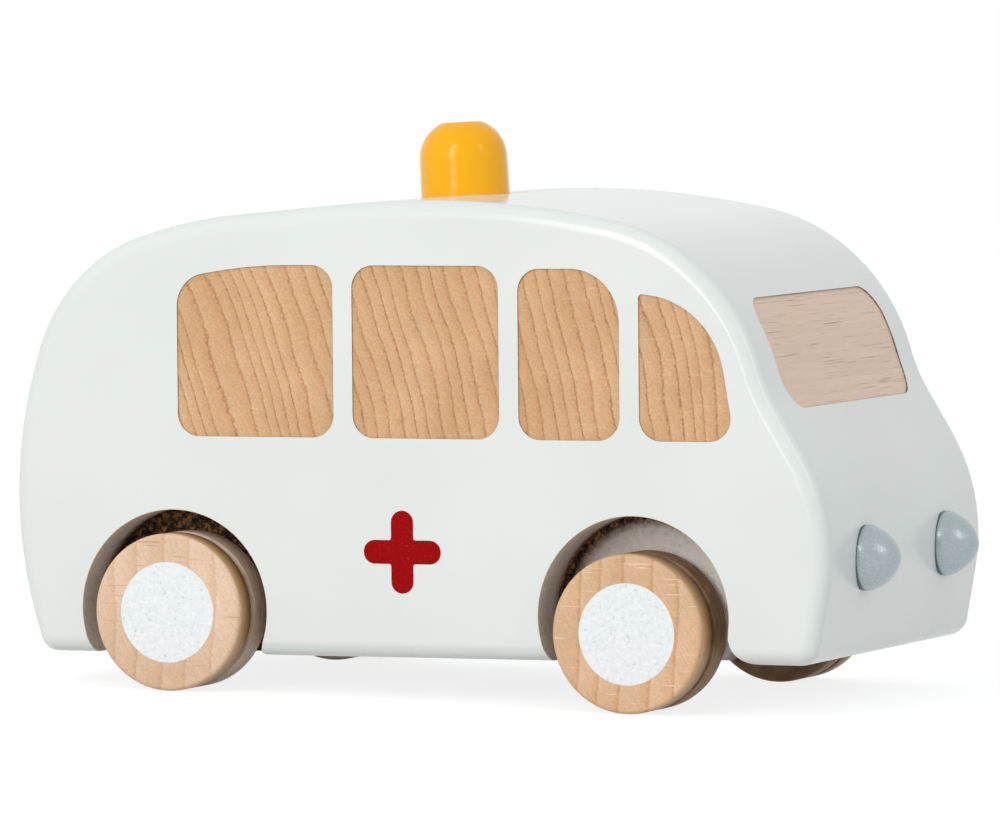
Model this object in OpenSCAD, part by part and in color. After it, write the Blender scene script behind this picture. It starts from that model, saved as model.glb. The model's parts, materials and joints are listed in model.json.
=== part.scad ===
// Toy ambulance: a lacquered beech block on two turning wheelsets, with a turned beacon and two headlights.
// X runs forward, Y towards the left side and Z up. The wheels stand on Z = 0.

/* [Body block] */
// Length of the block
body_length = 165.9; // [150:0.1:185]
// Height of the block, from its underside to the crown of the roof
body_height = 86.7; // [80:0.1:96]
// Width of the block across its flat sides
body_width = 88; // [76:0.5:100]
// Rounding of the long edges where the sides meet the outline
edge_round = 3.2; // [1.5:0.1:4]
// Thickness of the lacquer, which the bare wood of the windows lies under
coat_depth = 0.3; // [0.15:0.05:0.5]

/* [Side windows] */
// Height of the lower edge of the side windows above the underside
window_sill = 41.7; // [38:0.1:44]
// Height of the side windows
window_height = 32.7; // [28:0.1:34]
// Place of the rear edge of the first window, behind the middle of the block
window_start = 48.4; // [46:0.1:52]
// Width of the rear window
rear_window_width = 32.2; // [28:0.1:33]
// Width of the middle window
middle_window_width = 29.9; // [26:0.1:31]
// Width of the door window
door_window_width = 20.4; // [17:0.1:21]
// Width of the cab window
cab_window_width = 19.1; // [16:0.1:19.5]
// Pillar between two windows
window_pillar = 3.9; // [3:0.1:4.5]
// Rounding of the plain window corners
window_corner = 4.4; // [2:0.1:6]

/* [Windscreen] */
// Width of the windscreen
windscreen_width = 66.8; // [50:0.1:72]
// Height of the lower edge of the windscreen above the underside
windscreen_sill = 47.5; // [45:0.1:50]
// Height of the windscreen, measured upright
windscreen_height = 20.6; // [16:0.1:23]
// Rounding of the windscreen corners
windscreen_corner = 5.5; // [2:0.1:7]

/* [Wheels and axles] */
// Diameter of a wheel
wheel_d = 30; // [26:0.2:31]
// Thickness of a wheel
wheel_thickness = 14; // [12:0.1:14.4]
// Distance that a wheel stands out of the side of the block
wheel_proud = 3.5; // [2:0.1:5]
// Rounding of the rims of a wheel
wheel_edge = 0.8; // [0.4:0.1:1.6]
// Thickness of the disc outside the groove
wheel_face_disc = 5.9; // [4:0.1:6.5]
// Width of the groove round the tread
groove_width = 1.7; // [1:0.1:2.5]
// Depth of the groove round the tread
groove_depth = 2; // [0.8:0.1:2.5]
// Diameter of the axle dowels
axle_d = 6; // [4:0.1:8]
// Running clearance round an axle, on the radius
axle_clearance = 0.08; // [0.02:0.01:0.1]
// Depth of the blind bore of a wheel
wheel_bore_depth = 9.5; // [7:0.1:11]
// Glue gap round a tenon or an axle end, on the radius
glue_gap = 0.03; // [0.02:0.01:0.05]
// Distance between the two axles
wheelbase = 93.8; // [88:0.1:100]
// Place of the rear axle behind the middle of the block
rear_axle_back = 49.6; // [46:0.1:52]
// Height of the rear axle above the underside
rear_axle_height = 8.2; // [7:0.1:9.5]
// How much lower the front axle is bored than the rear one
front_axle_drop = 2.5; // [0:0.1:3.5]

/* [Wheel pockets] */
// Diameter of the drilled wheel pockets
pocket_d = 38.2; // [37.4:0.1:41]
// Depth of the wheel pockets
pocket_depth = 12; // [11.5:0.1:15]
// Height of the centre of the wheel pockets above the underside
pocket_height = 8.5; // [7.5:0.1:9.5]
// Rounding of the lower front corner of a rear wheel pocket
rear_pocket_round = 0.8; // [0.4:0.1:6]
// Rounding of the lower front corner of a front wheel pocket
front_pocket_round = 5.5; // [0.4:0.1:6]

/* [Beacon] */
// Diameter of the beacon
beacon_d = 16.9; // [13:0.1:19]
// Height of the beacon above its seat
beacon_height = 14.3; // [12:0.1:18]
// Rounding of the shoulder of the beacon
beacon_crown = 7.5; // [5:0.1:8]
// Diameter of the flat top of the beacon
beacon_flat_d = 7.4; // [4:0.1:9]
// Flare of the foot of the beacon, on the radius
beacon_flare = 0.1; // [0.05:0.05:0.6]
// Place of the beacon behind the middle of the block
beacon_back = 6.7; // [0:0.1:20]
// Diameter of the beacon tenon
beacon_tenon_d = 8; // [5:0.1:10]
// Length of the beacon tenon
beacon_tenon_length = 12; // [6:0.1:16]

/* [Headlights] */
// Diameter of a headlight
headlight_d = 12.4; // [10:0.1:14]
// Height of the dome of a headlight above its seat
headlight_height = 7.1; // [5:0.1:9]
// Distance between the two headlights
headlight_spacing = 44.4; // [36:0.1:52]
// Height of the headlights above the underside
headlight_level = 19.1; // [16:0.1:24]
// Diameter of a headlight tenon
headlight_tenon_d = 6; // [4:0.1:8]
// Length of a headlight tenon
headlight_tenon_length = 9; // [5:0.1:12]

/* [Hidden] */
$fn = 96;

// Cuts run past the surface that they break through by this much
overrun = 2;
// Play left around a seat that is sunk into the lacquered surface
seat_play = 0.1;
// Room left at the end of a blind bore
bore_end_room = 0.4;
// Straight foot of a dome before it starts to curve
dome_land = 0.6;
// Chamfer on the ends of the tenons and axles
dowel_chamfer = 0.5;
// Rounding of the lips of the tread groove
groove_lip = 0.3;
// Smallest rounding in a window corner that looks sharp
sharp_corner = 0.8;
// Largest turn between two neighbouring points of an outline, in degrees
outline_step = 4;
// Largest height of a round stretch of an outline over its chords
outline_sag = 0.03;
// Steps across the rounding of a long edge
edge_steps = 6;
// Steps up the curve of a dome
dome_steps = 20;
// Stretch of an edge that the roundings at its two ends may take together
rounding_room_share = 0.98;
// How strongly a headlight draws in to its tip, where one gives a plain half ellipse
headlight_taper_share = 1.16;
// A convex corner of the outline stays rounder than the long edges by this factor
least_corner_share = 1.15;

// Corners of the side outline: forward by body_length, up by body_height, rounding by body_height
outline_shares = [
    [-0.468, 0.0000, 0.0301],   // rear end of the underside
    [ 0.482, 0.0000, 0.0461],   // front end of the underside
    [ 0.5125, 0.3157, 0.4360],  // nose
    [ 0.426, 0.5914, 0.3809],   // hollow at the foot of the windscreen
    [ 0.3775, 0.9091, 0.4561],  // brow over the windscreen
    [ 0.0655, 1.0172, 2.1249],  // crown of the roof
    [-0.280, 0.9572, 1.1026],   // fall of the roof
    [-0.442, 0.8590, 0.3939],   // rear shoulder
    [-0.526, 0.3348, 1.0274]    // tail
];
// Upper rear corner of the rear window, whose top edge falls with the roof
rear_window_drop_share = 0.083;
rear_window_slope_share = 0.54;
rear_window_sweep_share = 3.0;
rear_window_round_share = 0.194;
// Upper front corner of the door window, and how much lower its top lies
door_window_round_share = 0.30;
door_window_drop_share = 0.0145;
// Swept front of the cab window: its upper corners by height, the front one by width, and its rounding
cab_window_top_share = 0.845;
cab_window_front_share = 0.775;
cab_window_brow_share = 0.790;
cab_window_round_share = 0.520;

// Rounded outlines: each corner is [point, rounding], and each result is [point, outward normal]
function unit(v) = v / norm(v);
function turned(v, angle) = [v.x * cos(angle) - v.y * sin(angle), v.x * sin(angle) + v.y * cos(angle)];
function turn_of(a, b) = atan2(a.x * b.y - a.y * b.x, a * b);
function turn_at(corners, i) =
    let (n = len(corners), here = corners[i % n][0])
    turn_of(here - corners[(i + n - 1) % n][0], corners[(i + 1) % n][0] - here);
function wanted_reach(corners, i) = corners[i % len(corners)][1] * tan(abs(turn_at(corners, i)) / 2);
function edge_room(corners, i) =
    let (n = len(corners), edge = norm(corners[(i + 1) % n][0] - corners[i % n][0]))
    rounding_room_share * edge / (wanted_reach(corners, i) + wanted_reach(corners, i + 1));
function corner_arc(corners, i) =
    let (
        n = len(corners),
        here = corners[i][0],
        ahead = unit(here - corners[(i + n - 1) % n][0]),
        turn = turn_at(corners, i),
        side = sign(turn),
        room = min(1, edge_room(corners, i + n - 1), edge_room(corners, i)),
        reach = wanted_reach(corners, i) * room,
        radius = corners[i][1] * room,
        inward = [-ahead.y, ahead.x] * side,
        centre = here - ahead * reach + inward * radius,
        chord = 2 * acos(1 - min(outline_sag / max(radius, outline_sag), 1)),
        steps = ceil(abs(turn) / min(outline_step, chord))
    )
    radius == 0
        ? [[here, -inward * side]]
        : [for (k = [0 : steps])
            let (d = turned(-inward, turn * k / steps))
            [centre + d * radius, d * side]];
function rounded(corners) = [for (i = [0 : len(corners) - 1]) each corner_arc(corners, i)];
function dome_curve(foot, out, up, taper) =
    [for (k = [0 : dome_steps])
        let (angle = 90 * k / dome_steps)
        foot + [out * pow(cos(angle), taper), up * pow(sin(angle), taper)]];
function shoulder_arc(centre, radius, turn) =
    [for (k = [0 : dome_steps])
        let (angle = turn * k / dome_steps)
        centre + radius * [cos(angle), sin(angle)]];
function places(marks, inset = 0) = [for (m = marks) m[0] - m[1] * inset];

// The side outline of the block, in the plane of length and height
least_corner = edge_round * least_corner_share;
outline = rounded([for (s = outline_shares)
    [[s[0] * body_length, s[1] * body_height], max(s[2] * body_height, least_corner)]]);

// Marks of the outline where it crosses a height at the front, or a length on the roof
function crossing(a, b, axis, value) =
    let (t = (value - a[0][axis]) / (b[0][axis] - a[0][axis]))
    [a[0] + (b[0] - a[0]) * t, unit(a[1] + (b[1] - a[1]) * t)];
function crossings(axis, value) =
    [for (i = [0 : len(outline) - 1])
        let (a = outline[i], b = outline[(i + 1) % len(outline)])
        if ((a[0][axis] - value) * (b[0][axis] - value) < 0) crossing(a, b, axis, value)];
function farthest(marks, axis) =
    let (most = max([for (m = marks) m[0][axis]]))
    [for (m = marks) if (m[0][axis] == most) m][0];
beacon_mark = farthest(crossings(0, -beacon_back), 1);
headlight_mark = farthest(crossings(1, headlight_level), 0);

// How far a flat round foot is sunk so that its whole rim lies in the curved surface
function foot_sink(mark, radius) =
    let (along = [mark[1].y, -mark[1].x], n = len(outline))
    max([for (i = [0 : n - 1], rim = [-radius, radius])
        let (
            a = outline[i][0] - mark[0],
            b = outline[(i + 1) % n][0] - mark[0],
            t = (rim - a * along) / ((b - a) * along)
        )
        if (t >= 0 && t < 1 && outline[i][1] * mark[1] > 0) -(a + (b - a) * t) * mark[1]]);
beacon_foot = beacon_d / 2 + beacon_flare;
beacon_sink = foot_sink(beacon_mark, beacon_foot);
headlight_sink = foot_sink(headlight_mark, headlight_d / 2);

// Axles, and the tilt that stands all four wheels on the ground
front_axle_ahead = wheelbase - rear_axle_back;
front_axle_height = rear_axle_height - front_axle_drop;
tilt = atan(front_axle_drop / wheelbase);
wheel_outer = body_width / 2 + wheel_proud;
wheel_inner = wheel_outer - wheel_thickness;
axle_length = 2 * (wheel_inner + wheel_bore_depth - bore_end_room);
headlight_tip = headlight_mark[0] + headlight_mark[1] * (headlight_height - headlight_sink);
front_end = turned(headlight_tip, tilt).x;
rear_end = min([for (p = places(outline)) turned(p, tilt).x]);
ground_shift = [
    -(front_end + rear_end) / 2,
    wheel_d / 2 - turned([-rear_axle_back, rear_axle_height], tilt).y
];

// Sets what is drawn on the level block onto the ground, nose up by the tilt
module stand() {
    translate([ground_shift.x, 0, ground_shift.y])
        rotate([0, -tilt, 0])
            children();
}

// Turns what is drawn upright into the outward normal of the outline at a mark
module on_outline(mark, across = 0) {
    translate([mark[0].x, across, mark[0].y])
        rotate([0, atan2(mark[1].x, mark[1].y), 0])
            children();
}

// Stretches a flat outline of length and height across the block
module across_block(from, to) {
    translate([0, to, 0])
        rotate([90, 0, 0])
            linear_extrude(to - from)
                children();
}

// Lays a round bar along Y
module cross_bar(at, from, to, d) {
    translate([at.x, to, at.y])
        rotate([90, 0, 0])
            cylinder(d = d, h = to - from);
}

// The block: the side outline drawn in at both sides by a quarter round
module block() {
    function quarter(k) = 90 * k / edge_steps;
    function ring_inset(k) = edge_round * (1 - sin(quarter(k)));
    function ring_side(k) = body_width / 2 - edge_round * (1 - cos(quarter(k)));
    near = [for (k = [0 : edge_steps]) [ring_inset(k), -ring_side(k)]];
    far = [for (k = [edge_steps : -1 : 0]) [ring_inset(k), ring_side(k)]];
    rings = concat(near, far);
    n = len(outline);
    last = (len(rings) - 1) * n;
    polyhedron(
        points = [for (r = rings, p = places(outline, r[0])) [p.x, r[1], p.y]],
        faces = concat(
            [[for (i = [n - 1 : -1 : 0]) i]],
            [for (j = [0 : len(rings) - 2], i = [0 : n - 1])
                [j * n + i, j * n + (i + 1) % n, (j + 1) * n + (i + 1) % n, (j + 1) * n + i]],
            [[for (i = [0 : n - 1]) last + i]]
        )
    );
}

// Outlines of the four side windows, from the rear forward
module side_windows() {
    sill = window_sill;
    top = window_sill + window_height;
    middle_start = rear_window_width + window_pillar - window_start;
    door_start = middle_start + middle_window_width + window_pillar;
    cab_start = door_start + door_window_width + window_pillar;
    rear_start = -window_start;
    rear_end = rear_start + rear_window_width;
    middle_end = middle_start + middle_window_width;
    door_end = door_start + door_window_width;
    door_top = top - door_window_drop_share * window_height;
    cab_end = cab_start + cab_window_width;
    cab_front = cab_start + cab_window_front_share * cab_window_width;
    windows = [
        [[[rear_start, sill], window_corner],
         [[rear_end, sill], window_corner],
         [[rear_end, top], window_corner],
         [[rear_end - rear_window_slope_share * rear_window_width, top],
          rear_window_sweep_share * window_height],
         [[rear_start, top - rear_window_drop_share * window_height],
          rear_window_round_share * window_height]],
        [[[middle_start, sill], window_corner],
         [[middle_end, sill], window_corner],
         [[middle_end, top], window_corner],
         [[middle_start, top], window_corner]],
        [[[door_start, sill], window_corner],
         [[door_end, sill], window_corner],
         [[door_end, door_top], door_window_round_share * window_height],
         [[door_start, door_top], window_corner]],
        [[[cab_start, sill], window_corner],
         [[cab_end, sill], window_corner],
         [[cab_front, sill + cab_window_brow_share * window_height],
          cab_window_round_share * window_height],
         [[cab_start, sill + cab_window_top_share * window_height], sharp_corner]]
    ];
    for (w = windows)
        polygon(places(rounded(w)));
}

// The lacquer left out over the windows of one side
module side_window_recess() {
    across_block(-body_width / 2 - overrun, -body_width / 2 + coat_depth)
        side_windows();
}

// The lacquer left out over the windscreen, which follows the curve of the block
module windscreen_recess() {
    half = windscreen_width / 2;
    top = windscreen_sill + windscreen_height;
    screen = [
        [[windscreen_sill, -half], windscreen_corner],
        [[top, -half], windscreen_corner],
        [[top, half], windscreen_corner],
        [[windscreen_sill, half], windscreen_corner]
    ];
    difference() {
        rotate([0, -90, 180])
            linear_extrude(body_length)
                polygon(places(rounded(screen)));
        across_block(-half - overrun, half + overrun)
            polygon(places(outline, coat_depth));
    }
}

// Outline of a wheel pocket: a circle that breaks out of the underside, with its lower front corner rounded
function pocket_outline(middle, corner) =
    let (
        down = [0, -1],
        radius = pocket_d / 2,
        rise = corner - middle.y,
        centre = middle + [sqrt(pow(radius + corner, 2) - pow(rise, 2)), rise],
        out = unit(centre - middle),
        turn = turn_of(down, -out),
        sweep = 360 + turn_of(out, down),
        steps = ceil($fn * sweep / 360)
    )
    concat(
        [[centre.x, -overrun]],
        [for (k = [0 : edge_steps]) centre + turned(down * corner, turn * k / edge_steps)],
        [for (k = [1 : steps]) middle + turned(out * radius, sweep * k / steps)]
    );

module wheel_pockets() {
    right = -body_width / 2;
    pockets = [
        [[-rear_axle_back, pocket_height], rear_pocket_round],
        [[front_axle_ahead, pocket_height], front_pocket_round]
    ];
    for (p = pockets, side = [0, 1])
        mirror([0, side, 0])
            across_block(right - overrun, right + pocket_depth)
                polygon(pocket_outline(p[0], p[1]));
}

module axle_bore(at) {
    cross_bar(at, -body_width / 2, body_width / 2, axle_d + 2 * axle_clearance);
}

// A round seat sunk into the block, with the bore for a tenon under it
module tenon_seat(foot_d, sink, tenon_d, tenon_length) {
    translate([0, 0, -sink])
        cylinder(d = foot_d + 2 * seat_play, h = sink + overrun);
    translate([0, 0, -sink - tenon_length - bore_end_room])
        cylinder(d = tenon_d + 2 * glue_gap, h = tenon_length + bore_end_room + overrun);
}

// A turned piece on a tenon: the outline of its head is given from the foot to the top
module turned_piece(sink, tenon_d, tenon_length, head) {
    tenon = tenon_d / 2;
    translate([0, 0, -sink])
        rotate_extrude()
            polygon(concat(
                [[0, -tenon_length], [tenon - dowel_chamfer, -tenon_length],
                 [tenon, dowel_chamfer - tenon_length], [tenon, 0]],
                head
            ));
}

module body() {
    color("#e8ece8")
        stand()
            difference() {
                block();
                wheel_pockets();
                axle_bore([-rear_axle_back, rear_axle_height]);
                axle_bore([front_axle_ahead, front_axle_height]);
                for (side = [0, 1])
                    mirror([0, side, 0])
                        side_window_recess();
                windscreen_recess();
                on_outline(beacon_mark)
                    tenon_seat(2 * beacon_foot, beacon_sink, beacon_tenon_d, beacon_tenon_length);
                for (across = [-headlight_spacing / 2, headlight_spacing / 2])
                    on_outline(headlight_mark, across)
                        tenon_seat(headlight_d, headlight_sink, headlight_tenon_d, headlight_tenon_length);
            }
}

module beacon() {
    crown_middle = beacon_d / 2 - beacon_crown;
    turn = acos((beacon_flat_d / 2 - crown_middle) / beacon_crown);
    shoulder = beacon_height - beacon_crown * sin(turn);
    head = concat(
        [[beacon_foot, 0], [beacon_foot, dome_land]],
        shoulder_arc([crown_middle, shoulder], beacon_crown, turn),
        [[0, beacon_height]]
    );
    color("#f9b812")
        stand()
            on_outline(beacon_mark)
                turned_piece(beacon_sink, beacon_tenon_d, beacon_tenon_length, head);
}

module headlight(across) {
    radius = headlight_d / 2;
    head = concat(
        [[radius, 0]],
        dome_curve([0, dome_land], radius, headlight_height - dome_land, headlight_taper_share)
    );
    color("#a0aaac")
        stand()
            on_outline(headlight_mark, across)
                turned_piece(headlight_sink, headlight_tenon_d, headlight_tenon_length, head);
}

module headlight_left() {
    headlight(headlight_spacing / 2);
}

module headlight_right() {
    headlight(-headlight_spacing / 2);
}

// An axle dowel with chamfered ends
module axle(at) {
    radius = axle_d / 2;
    half = axle_length / 2;
    color("#d9b78e")
        stand()
            translate([at.x, 0, at.y])
                rotate([90, 0, 0])
                    rotate_extrude()
                        polygon([[0, -half], [radius - dowel_chamfer, -half], [radius, dowel_chamfer - half],
                            [radius, half - dowel_chamfer], [radius - dowel_chamfer, half], [0, half]]);
}

module front_axle() {
    axle([front_axle_ahead, front_axle_height]);
}

module rear_axle() {
    axle([-rear_axle_back, rear_axle_height]);
}

// A wheel turned from one piece: two discs with a groove between, on a blind bore
module wheel(at, side) {
    radius = wheel_d / 2;
    groove_out = wheel_thickness - wheel_face_disc;
    groove_in = groove_out - groove_width;
    floor_r = radius - groove_depth;
    color("#deba96")
        stand()
            translate([at.x, 0, at.y])
                mirror([0, side, 0])
                    translate([0, -wheel_inner, 0])
                        rotate([90, 0, 0])
                            difference() {
                                rotate_extrude()
                                    polygon(places(rounded([
                                        [[0, 0], 0],
                                        [[radius, 0], wheel_edge],
                                        [[radius, groove_in], groove_lip],
                                        [[floor_r, groove_in], 0],
                                        [[floor_r, groove_out], 0],
                                        [[radius, groove_out], groove_lip],
                                        [[radius, wheel_thickness], wheel_edge],
                                        [[0, wheel_thickness], 0]
                                    ])));
                                translate([0, 0, -overrun])
                                    cylinder(d = axle_d + 2 * glue_gap, h = wheel_bore_depth + overrun);
                            }
}

module front_left_wheel() {
    wheel([front_axle_ahead, front_axle_height], 1);
}

module front_right_wheel() {
    wheel([front_axle_ahead, front_axle_height], 0);
}

module rear_left_wheel() {
    wheel([-rear_axle_back, rear_axle_height], 1);
}

module rear_right_wheel() {
    wheel([-rear_axle_back, rear_axle_height], 0);
}

body();
beacon();
headlight_left();
headlight_right();
front_axle();
rear_axle();
front_left_wheel();
front_right_wheel();
rear_left_wheel();
rear_right_wheel();
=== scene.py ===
"""A wooden toy ambulance: a white block on two turning wheelsets, with a beacon and headlights."""

import json
import math

import bmesh
import bpy
from mathutils import Matrix, Vector


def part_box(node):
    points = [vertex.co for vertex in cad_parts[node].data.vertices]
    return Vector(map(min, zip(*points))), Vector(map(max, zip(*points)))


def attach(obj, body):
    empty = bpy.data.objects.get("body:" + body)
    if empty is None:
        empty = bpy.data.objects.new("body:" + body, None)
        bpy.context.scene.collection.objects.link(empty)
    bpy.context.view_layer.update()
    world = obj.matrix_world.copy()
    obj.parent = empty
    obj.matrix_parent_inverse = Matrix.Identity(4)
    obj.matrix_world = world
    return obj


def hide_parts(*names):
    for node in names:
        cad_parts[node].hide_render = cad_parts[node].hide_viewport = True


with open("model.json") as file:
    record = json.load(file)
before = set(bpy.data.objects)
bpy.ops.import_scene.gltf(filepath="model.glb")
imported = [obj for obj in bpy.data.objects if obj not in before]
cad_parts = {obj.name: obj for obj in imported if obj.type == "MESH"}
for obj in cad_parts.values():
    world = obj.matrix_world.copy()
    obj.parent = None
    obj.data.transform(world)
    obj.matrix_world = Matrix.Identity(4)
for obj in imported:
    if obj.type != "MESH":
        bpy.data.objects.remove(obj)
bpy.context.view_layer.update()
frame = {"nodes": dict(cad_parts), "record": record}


# The block
# One piece of beech, sawn to the side outline, rounded over along its long edges and sprayed white.
# Its windows were masked, so bare wood lies there under the coat, and the wheel pockets were drilled
# from the sides with a wide flat bit that scorched their corners. Lengths are in millimetres.
MM = 0.001
BLOCK_HALF_WIDTH = 44.0
COAT_DEPTH = 0.3
BLOCK_CREASE = math.radians(32)
POCKET_RADIUS = 19.1
POCKET_FLOOR = 32.0
POCKET_PLACES = {"rear": (-49.6, 8.5), "front": (44.2, 8.5)}
POCKET_LIP = 3.2
CHIPPED_EDGE = 0.22
CHIPPED_EDGE_STEPS = 2
WINDSCREEN_HEIGHTS = (50.0, 66.0)
WINDSCREEN_MIDDLE = 20.0
WINDSCREEN_SLANT = 0.3
WINDSCREEN_BEND = math.radians(15)
RECESS_WALL_AREA = 20.0
RECESS_WALL_BEND = math.radians(30)
LACQUER_SLOT, WINDOW_SLOT, RIM_SLOT, DRILLED_SLOT, WINDSCREEN_SLOT, CHIPPED_SLOT = range(6)

# How near a face has to lie to a plane or an axis to count as on it
FACE_SLACK = 0.05
FLOOR_SLACK = 0.1
SQUARE_ON = 0.99
EDGE_ON = 0.1

# Doubles closer than this are merged, and faces flatter than this are joined
WELD = 0.001
FLAT_WITHIN = math.radians(0.2)

underside = frame["record"]["mounts"][0]
nose_up = math.asin(underside["axis"][0])
level_origin = Vector(underside["pos_m"])


def on_block(ahead, across, up):
    """A place on the level block, in millimetres, as it stands on its wheels, in metres."""
    return level_origin + Matrix.Rotation(-nose_up, 3, "Y") @ (Vector((ahead, across, up)) * MM)


def level_place(place):
    """A place in metres as it lies on the level block, in millimetres."""
    return Matrix.Rotation(nose_up, 3, "Y") @ (Vector(place) - level_origin) / MM


def colour(hex_value):
    """An sRGB hex colour as linear red, green, blue and alpha."""
    channels = [int(hex_value[i:i + 2], 16) / 255 for i in (1, 3, 5)]
    return [c / 12.92 if c <= 0.04045 else ((c + 0.055) / 1.055) ** 2.4 for c in channels] + [1.0]


def wire(tree, kind, inputs=None, stops=None, **settings):
    """Adds a shader node with its settings, and fills its inputs with values or other nodes."""
    node = tree.nodes.new("ShaderNode" + kind)
    for name, value in settings.items():
        setattr(node, name, value)
    for key, value in (inputs or {}).items():
        if isinstance(value, bpy.types.Node):
            value = next(s for s in value.outputs if s.enabled)
        if isinstance(value, bpy.types.NodeSocket):
            tree.links.new(value, node.inputs[key])
        else:
            node.inputs[key].default_value = value
    if stops:
        ramp = node.color_ramp.elements
        while len(ramp) < len(stops):
            ramp.new(0.5)
        for element, (place, shade) in zip(ramp, stops):
            element.position = place
            element.color = colour(shade)
    return node


# Sockets of Mix and Map Range nodes that share their names, by number
SHARE, NUMBER_A, NUMBER_B, COLOUR_A, COLOUR_B = 0, 2, 3, 6, 7
VECTOR_RANGE = range(6, 11)


def finish(name, **values):
    """A new material, its node tree, its shader with these values, and places in millimetres."""
    made = bpy.data.materials.new(name)
    made.use_nodes = True
    tree = made.node_tree
    shader = tree.nodes["Principled BSDF"]
    for socket, value in values.items():
        shader.inputs[socket.replace("_", " ")].default_value = value
    place = wire(tree, "TexCoord").outputs["Object"]
    mm = wire(tree, "VectorMath", {0: place, "Scale": 1 / MM}, operation="SCALE")
    return made, tree, shader, mm


def lead(tree, shader, **looks):
    """Leads nodes to the shader's sockets of these names."""
    for socket, node in looks.items():
        shown = next(s for s in node.outputs if s.enabled)
        tree.links.new(shown, shader.inputs[socket.replace("_", " ")])


def grain_steps(around, across):
    """Steps of a pattern by its size round the axle line and its size across the block."""
    return (1 / around, 1 / across, 1 / around)


# Satin white lacquer: sprayed and cured, so it is even, softly shiny and has a faint orange peel.
# The wood's pores lie across the block and show through as fine sunk lines.
COAT_CLOUD = 38.0
PEEL = 1.6
COAT_PORES = grain_steps(around=0.5, across=16.0)

white_lacquer, tree, shader, mm = finish("satin_white_lacquer", IOR=1.48)
clouds = wire(tree, "TexNoise", {"Vector": mm, "Scale": 1 / COAT_CLOUD, "Detail": 2.0})
tint = wire(tree, "ValToRGB", {0: clouds}, [(0.3, "#e6ebe7"), (0.7, "#ebf0ec")])
peel = wire(tree, "TexNoise", {"Vector": mm, "Scale": 1 / PEEL, "Detail": 1.0})
pore_place = wire(tree, "VectorMath", {0: mm, 1: COAT_PORES}, operation="MULTIPLY")
pores = wire(tree, "TexNoise", {"Vector": pore_place, "Scale": 1.0, "Detail": 2.0})
relief = wire(tree, "Math", {0: pores, 1: 0.5, 2: peel}, operation="MULTIPLY_ADD")
skin = wire(tree, "Bump", {"Height": relief, "Strength": 0.35, "Distance": 0.025 * MM})
sheen = wire(tree, "MapRange", {"Value": clouds, "To Min": 0.17, "To Max": 0.22})
lead(tree, shader, Base_Color=tint, Roughness=sheen, Normal=skin)

# Beech end grain: sawn across the trunk and sanded. It shows toothed growth rings round a far heart,
# short rays that point to it, fine pores, cloudy tones and faint strokes of the sanding belt.
RING_TOOTH = 0.7
RING_SWAY = 18.0
RING_SEASONS = 9.0
RAY_LENGTH = 8.0
RAY_WIDTH = 0.5
WOOD_GRIT = 0.45
TONE_CLOUD = 14.0
TONE_DEEP = (0.92, 0.89, 0.845)
TONE_PALE = (1.06, 1.075, 1.105)
STROKE_SLANT = math.radians(35)
STROKE_STEPS = (1 / 0.22, 1.0, 1 / 3)


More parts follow.
